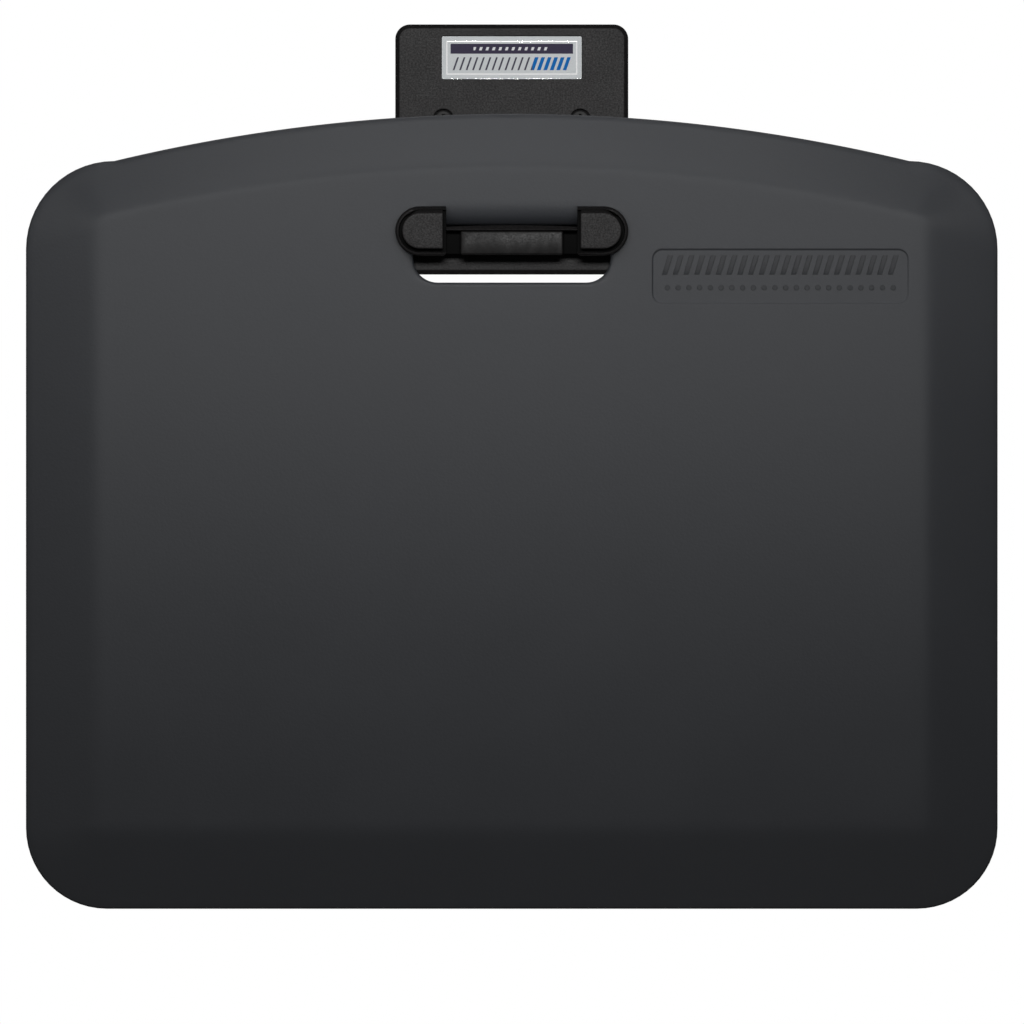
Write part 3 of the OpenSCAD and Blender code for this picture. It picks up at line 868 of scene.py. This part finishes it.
def make_plate():
    plate = Shell()
    edge = rounded([(1.2, 0), (0, 0), (0, -2.5), (2.7, -6), (4, -6)], 0.5, 4)
    seat = rounded([(8.2, -6), (7.1, -6), (7.1, -2.6), (2.9, -2.6), (2.9, 0), (3.6, 0)], 0.3)
    sunk = rounded([(4.3, 0), (3.55, 0), (3.55, -2.35), (1.9, -2.35), (1.9, -6), (2.3, -6)], 0.2)
    well = rounded([(-1, -6), (-0.3, -6), (-0.3, -4.8), (0.4, -4.8)], 0.2)
    outer = plate.sweep(plate_outline, edge)
    seats = [plate.sweep(lambda r, at=at: circle(at, r), seat) for at in wall_screw_places]
    bores = [plate.sweep(lambda r, at=at: circle(at, r, 32), sunk) for at in hook_screw_places]
    badge = plate.sweep(badge_outline, well)
    plate.cap(outer[0], [ring[1] for ring in seats] + [ring[0] for ring in bores])
    plate.cap(outer[1], [ring[0] for ring in seats] + [ring[1] for ring in bores] + [badge[0]])
    plate.cap(badge[1])
    return plate.finish("wall_plate_shell")


add_piece("bracket_plate", make_plate(), plastic, "bracket", "bracket_plastic", "wall_plate")

# %% [markdown]
# ## The hook
# The hook's solid already has the right form: a flange with two eared ends, a recess between them and a
# crowned saddle. What it lacks is the rounding that a mould leaves. A copy of it is cleaned and bevelled, with
# normals that keep the flat faces flat.

# %% Rounded copies of solids
def softened(node, width, weight=None, segments=3):
    """A copy of a solid with clean faces, whose edges are rounded by a width times their weight."""
    mesh = frame["nodes"][node].data.copy()
    body = bmesh.new()
    body.from_mesh(mesh)
    bmesh.ops.remove_doubles(body, verts=body.verts, dist=0.002 * MM)
    bmesh.ops.dissolve_limit(body, angle_limit=math.radians(0.5), verts=body.verts, edges=body.edges)
    amount = body.edges.layers.float.new("bevel_weight_edge")
    for edge in body.edges:
        if edge.calc_face_angle(0) > math.radians(32):
            middle = (edge.verts[0].co + edge.verts[1].co) / 2
            edge[amount] = weight(*middle) if weight else 1
    body.to_mesh(mesh)
    body.free()
    mesh.shade_smooth()
    holder = bpy.data.objects.new(node, mesh)
    bpy.context.scene.collection.objects.link(holder)
    bevel = holder.modifiers.new("edges", "BEVEL")
    bevel.width, bevel.segments, bevel.limit_method = width, segments, "WEIGHT"
    bevel.use_clamp_overlap, bevel.harden_normals = False, True
    evaluated = holder.evaluated_get(bpy.context.evaluated_depsgraph_get())
    result = bpy.data.meshes.new_from_object(evaluated)
    bpy.data.objects.remove(holder)
    return result


def hook_weight(x, y, z):
    """Full rounding, but none at the hidden lower back and little on the thin top of the ears."""
    turn = math.degrees(math.atan2(z - ear_middle, max(abs(x) - ear_centre, 0)))
    outer = math.hypot(max(abs(x) - ear_centre, 0), z - ear_middle) > 0.8 * ear_radius
    if z < ear_middle - 12 * MM and y > -26.5 * MM:
        return 0
    if abs(x) > 44 * MM and outer and y < -25.9 * MM:
        return max(0.1, min(1, (60 - turn) / 40))
    return 1


hook_mesh = softened("hook_body", 0.5 * MM, hook_weight)
add_piece("hook", hook_mesh, hook_plastic, "bracket", "bracket_plastic", "hook_body")
add_piece("pad", softened("saddle_pad", 1.2 * MM), rubber, "bracket", "pad_rubber", "saddle_pad")

# %% [markdown]
# ## The ear caps
# Each ear is closed by a raised D-shaped cap. Its face is flat and its walls are steep, but along its top the
# wall leans back into a brow, which runs out round the curve. One D outline makes it: the rings behind the
# face are pushed outward only where the outline faces up.

# %% Ear caps
cap_low, cap_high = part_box("ear_cap_right")
cap_corner = 0.9 * MM


def cap_outline(side, size):
    """A D moved in by size, or with its upper edge pushed out by size below zero."""
    inset, push = max(size, 0), max(-size, 0)
    radius = ear_middle - cap_low[2] - inset
    inner = cap_low[0] + inset
    shape = (
        arc((inner + cap_corner, ear_middle - radius + cap_corner), cap_corner, 180, 270, 4)
        + arc((ear_centre, ear_middle), radius, -90, 90, 30)
        + arc((inner + cap_corner, ear_middle + radius - cap_corner), cap_corner, 90, 180, 4)
    )
    points = []
    for x, z in shape:
        turn = math.degrees(math.atan2(z - ear_middle, max(x - ear_centre, 0)))
        lift = max(0, min(1, (turn - 40) / 50)) if z > ear_middle + 0.7 * radius else 0
        lift *= push * lift * (3 - 2 * lift)
        away = Vector((max(x - ear_centre, 0), z - ear_middle)).normalized()
        points.append((side * (x + away.x * lift), z + away.y * lift))
    return points[::side]


def make_cap(side):
    cap = Shell()
    brow = cap_high[2] - (2 * ear_middle - cap_low[2])
    wall = [(-brow, cap_high[1]), (-brow, hook_low[1]), (0, cap_low[1]), (3.5 * MM, cap_low[1])]
    back, front = cap.sweep(lambda size: cap_outline(side, size), eased(wall, 0.8 * MM, 5))
    cap.cap(back)
    cap.cap(front)
    return cap.finish("cap_shell", 50)


for side, name in ((-1, "left"), (1, "right")):
    add_piece("cap_" + name, make_cap(side), hook_plastic, "bracket", "bracket_plastic", "ear_cap_" + name)

# %% [markdown]
# ## The badge
# The metal plate keeps its solid and gets the print. The resin over it is a low dome: it rises along a rounded
# slope from its edge to a flat crown.

# %% Badge and dome
badge_plate = frame["nodes"]["badge_plate"]
badge_plate.data.materials.clear()
badge_plate.data.materials.append(print_finish)


def make_dome():
    dome = Shell()
    back, edge, front = badge_low[1] - 0.05 * MM, dome_high[1] - 0.45 * MM, dome_low[1]
    slope = [(0.5 * MM, back), (0, back), (0, edge), (3.2 * MM, front), (5 * MM, front)]
    rings = dome.sweep(badge_outline, eased(slope, 0.5 * MM, 5))
    dome.cap(rings[0])
    dome.cap(rings[1])
    return dome.finish("dome_shell", 50)


add_piece("dome", make_dome(), resin, "bracket", "badge_clear", "badge_dome")

# %% [markdown]
# ## Screws
# Every screw is turned about its axis, so one profile spun round makes a head, a neck, a shank and a point. A
# recipe adds the helical thread to it and sets a copy at each corner of its pattern.

# %% One screw
SCREW_TIP, CROSS_WIDTH = 0.15 * MM, 1.9 * MM


def cross_shape(centre, reach, width):
    """The outline of a cross recess."""
    w, r = width / 2, reach
    corners = [(r, -w), (r, w), (w, w), (w, r), (-w, r), (-w, w), (-r, w), (-r, -w)]
    corners += [(-w, -w), (-w, -r), (w, -r), (w, -w)]
    return [(centre[0] + x, centre[1] + z) for x, z in corners]


def make_screw(head_r, head_t, crown, shank_r, shank_end, point, reach, into, seat):
    """A screw whose head sits at depth seat and whose shank runs back (into = 1) or forward (into = -1)."""
    screw = Shell()
    profile = [
        (reach + 0.5 * MM, seat),
        (head_r - 1.1 * MM, seat + into * 0.25 * crown),
        (head_r - 0.3 * MM, seat + into * crown),
        (head_r, seat + into * (crown + 0.4 * MM)),
        (head_r, seat + into * head_t),
        (shank_r, seat + into * head_t),
        (shank_r, seat + into * (shank_end - point)),
        (SCREW_TIP, seat + into * shank_end),
    ]
    first, last = screw.sweep(lambda r: circle((0, 0), r, 40), eased(profile, 0.25 * MM, 3))

    def arms(scale):
        """The cross narrows as it goes down."""
        return cross_shape((0, 0), reach * scale, CROSS_WIDTH * (0.55 + 0.45 * scale))

    walls = [(1, seat), (1, seat + into * 0.2 * MM), (0.7, seat + into * 1.5 * MM)]
    rim, cross_floor = screw.sweep(arms, walls)
    screw.cap(first, [rim])
    screw.cap(cross_floor)
    screw.cap(last)
    return screw.finish("screw", 40)


def screw_recipe():
    graph, inputs = new_recipe(
        "Screw set",
        {
            "Span across": "Float",
            "Span up": "Float",
            "Middle": "Vector",
            "Thread radius": "Float",
            "Thread start": "Float",
            "Thread length": "Float",
            "Thread pitch": "Float",
            "Thread depth": "Float",
        },
    )
    helix = graph.node(
        "GeometryNodeCurveSpiral",
        None,
        {
            "Resolution": 20,
            "Rotations": inputs["Thread length"] / inputs["Thread pitch"],
            "Start Radius": inputs["Thread radius"],
            "End Radius": inputs["Thread radius"],
            "Height": inputs["Thread length"],
        },
    )
    start = graph.node("ShaderNodeCombineXYZ", None, {"Y": inputs["Thread start"]})
    turned = {"Geometry": helix, "Rotation": (math.radians(-90), 0, 0), "Translation": start}
    wire = graph.node("GeometryNodeTransform", None, turned)
    ridge_sizes = {"Resolution": 4, "Radius": inputs["Thread depth"]}
    ridge = graph.node("GeometryNodeCurvePrimitiveCircle", None, ridge_sizes)
    swept = {"Curve": wire, "Profile Curve": ridge, "Fill Caps": True}
    thread = graph.node("GeometryNodeCurveToMesh", None, swept)
    both = graph.tree.nodes.new("GeometryNodeJoinGeometry")
    for part in (inputs["Geometry"], thread):
        graph.tree.links.new(part.socket, both.inputs[0])
    grid = {"Size X": inputs["Span across"], "Size Y": inputs["Span up"], "Vertices X": 2, "Vertices Y": 2}
    corners = graph.node("GeometryNodeMeshGrid", None, grid)
    stood = {"Geometry": corners, "Rotation": (math.radians(90), 0, 0), "Translation": inputs["Middle"]}
    upright = graph.node("GeometryNodeTransform", None, stood)
    placed = {"Points": upright, "Instance": Wire(graph, both.outputs[0])}
    copies = graph.node("GeometryNodeInstanceOnPoints", None, placed)
    return end_recipe(graph, copies, inputs["Material"])


screw_set = screw_recipe()
wall_screw = make_screw(
    head_r=6.5 * MM, head_t=2.8 * MM, crown=0.5 * MM, shank_r=2.1 * MM, shank_end=34.4 * MM, point=4 * MM,
    reach=3.7 * MM, into=1, seat=-5.4 * MM,
)
wall_screws = run_recipe(
    screw_set,
    wall_screw,
    {
        "Span across": wall_span[0],
        "Span up": wall_span[1],
        "Middle": (0, 0, 0),
        "Thread radius": 2.15 * MM,
        "Thread start": 2.0 * MM,
        "Thread length": 22 * MM,
        "Thread pitch": 1.8 * MM,
        "Thread depth": 0.35 * MM,
        "Material": black_steel,
    },
)
names = [f"wall_screw_{i}" for i in range(1, 5)]
add_piece("wall_screws", shaded(wall_screws, 40), black_steel, "bracket", "black_screw", *names)

hook_screw = make_screw(
    head_r=3.4 * MM, head_t=2.2 * MM, crown=0.4 * MM, shank_r=1.5 * MM, shank_end=15.8 * MM, point=0.4 * MM,
    reach=1.9 * MM, into=-1, seat=-0.15 * MM,
)
hook_screws = run_recipe(
    screw_set,
    hook_screw,
    {
        "Span across": hook_span[0],
        "Span up": hook_span[1],
        "Middle": (0, 0, neck_middle),
        "Thread radius": 1.5 * MM,
        "Thread start": -15.5 * MM,
        "Thread length": 11 * MM,
        "Thread pitch": 1.1 * MM,
        "Thread depth": 0.25 * MM,
        "Material": zinc_steel,
    },
)
names = [f"hook_screw_{i}" for i in range(1, 5)]
add_piece("hook_screws", shaded(hook_screws, 40), zinc_steel, "bracket", "zinc_screw", *names)

# %% [markdown]
# ## Floor, light and camera
# The bracket is nearly black, and the light that shows its grain would wash out the charcoal mat. So each gets
# its own softboxes, which light linking keeps off the other: wide ones that shade the mat from top to bottom,
# and one strong lamp that rakes the bracket. Its recesses are dark partly from that lamp and partly from shade
# painted into the hook's colour behind the pad and in the moats round the caps. The camera stands straight in
# front.

# %% Floor
def floor_paper():
    """Paper that is white to the camera, dimmer in reflections, and a dark card to the object, so that little
    light comes up from it onto the mat's lower border."""
    material, graph, shader = new_surface("floor_paper", Roughness=0.9, Emission_Strength=1.0)
    path = graph.node("ShaderNodeLightPath", out="Is Camera Ray")
    direct = graph.math("MAXIMUM", path, path.other("Is Transmission Ray"))
    seen = graph.math("MAXIMUM", direct, 0.3 * path.other("Is Glossy Ray"))
    feed(
        graph,
        shader,
        Base_Color=graph.mix(seen, (0.02, 0.02, 0.02, 1), (0.85, 0.85, 0.85, 1)),
        Emission_Color=graph.mix(seen, (0, 0, 0, 1), (0.5, 0.5, 0.5, 1)),
    )
    return material


floor_mesh = bpy.data.meshes.new("floor")
floor_gap = 0.25
floor_z = mat_low[2] - floor_gap
floor_corners = ((-3, -3.1), (3, -3.1), (3, 2.9), (-3, 2.9))
floor_mesh.from_pydata([(x, y, floor_z) for x, y in floor_corners], [], [(0, 1, 2, 3)])
floor_mesh.materials.append(floor_paper())
floor = bpy.data.objects.new("floor", floor_mesh)
bpy.context.scene.collection.objects.link(floor)
print("floor at", round(floor_z, 3))


# %% Room
AMBIENT = 0.09   # the room's own light, of which 1 would be white


def make_world():
    """A dim room with a white sheet behind the object. Rays from the camera see white all round."""
    world = bpy.data.worlds.new("studio")
    world.use_nodes = True
    sky = Graph(world.node_tree)
    direction = sky.node("ShaderNodeSeparateXYZ", None, {0: sky.node("ShaderNodeTexCoord", out="Generated")})
    camera_ray = sky.node("ShaderNodeLightPath", out="Is Camera Ray")
    sheet = camera_ray.other("Is Glossy Ray") * sky.ease(direction.other("Y"), 0.72, 0.8)
    through = camera_ray.other("Is Transmission Ray")
    seen = sky.math("MAXIMUM", sky.math("MAXIMUM", camera_ray, through), sheet)
    backdrop = world.node_tree.nodes["Background"]
    backdrop.inputs["Color"].default_value = (1, 1, 1, 1)
    world.node_tree.links.new((AMBIENT + (1 - AMBIENT) * seen).socket, backdrop.inputs["Strength"])
    world.cycles.sampling_method = "NONE"
    bpy.context.scene.world = world


make_world()
print("room light", AMBIENT)


# %% Softboxes
def softbox(name, at, aim, width, height, power, receivers=None):
    """A rectangular lamp that shines from one place towards another, on everything or on its receivers."""
    lamp = bpy.data.lights.new(name, "AREA")
    lamp.shape, lamp.size, lamp.size_y, lamp.energy = "RECTANGLE", width, height, power
    holder = bpy.data.objects.new(name, lamp)
    bpy.context.scene.collection.objects.link(holder)
    holder.location = at
    holder.rotation_euler = (Vector(aim) - Vector(at)).to_track_quat("-Z", "Y").to_euler()
    if receivers:
        holder.light_linking.receiver_collection = receivers


mat_only = bpy.data.collections.new("mat_only")
for piece in (mat_piece, tread_piece, floor):
    mat_only.objects.link(piece)
bracket_only = bpy.data.collections.new("bracket_only")
for piece in bpy.context.scene.objects:
    if piece.type == "MESH" and piece not in (mat_piece, tread_piece, floor):
        bracket_only.objects.link(piece)

softbox("mat_high", (0, -0.5, 0.6), (0, 0, -0.2), 0.8, 0.2, 1.4, mat_only)
softbox("mat_middle", (0, -0.4, 0.1), (0, 0, -0.15), 1.3, 0.1, 1.02, mat_only)
softbox("mat_low", (0, -0.68, -0.1), (0, 0, -0.2), 1.1, 0.2, 1.22, mat_only)
softbox("bracket", (0, -2.2, 0.44), (0, 0, 0), 0.8, 0.3, 48, bracket_only)
softbox("left", (-1.3, -1.4, 0), (0, 0, -0.2), 0.5, 0.5, 0.7)
softbox("rear", (0.7, 1.9, 0.5), (0, 0, -0.2), 0.9, 0.9, 12)
print("lamps:", [lamp.name for lamp in bpy.data.lights])

# %% Camera
distance = 6.0
picture_width = mat_width / 0.949                       # the mat fills most of the width
picture_top = plate_high[2] + 0.0234 * picture_width    # a narrow strip above the plate
crest_depth = 7.8 * MM                                  # how far in front of the wall the scale is set
camera = bpy.data.cameras.new("camera")
camera.sensor_width = 36
camera.lens = camera.sensor_width * (distance - crest_depth) / picture_width
camera.clip_end = 50
camera_holder = bpy.data.objects.new("camera", camera)
bpy.context.scene.collection.objects.link(camera_holder)
camera_holder.location = (0.15 * MM, -distance, picture_top - picture_width / 2)
camera_holder.rotation_euler = (math.radians(90), 0, 0)
bpy.context.scene.camera = camera_holder
bpy.context.scene.view_settings.view_transform = "Standard"
print("camera lens", round(camera.lens, 1))
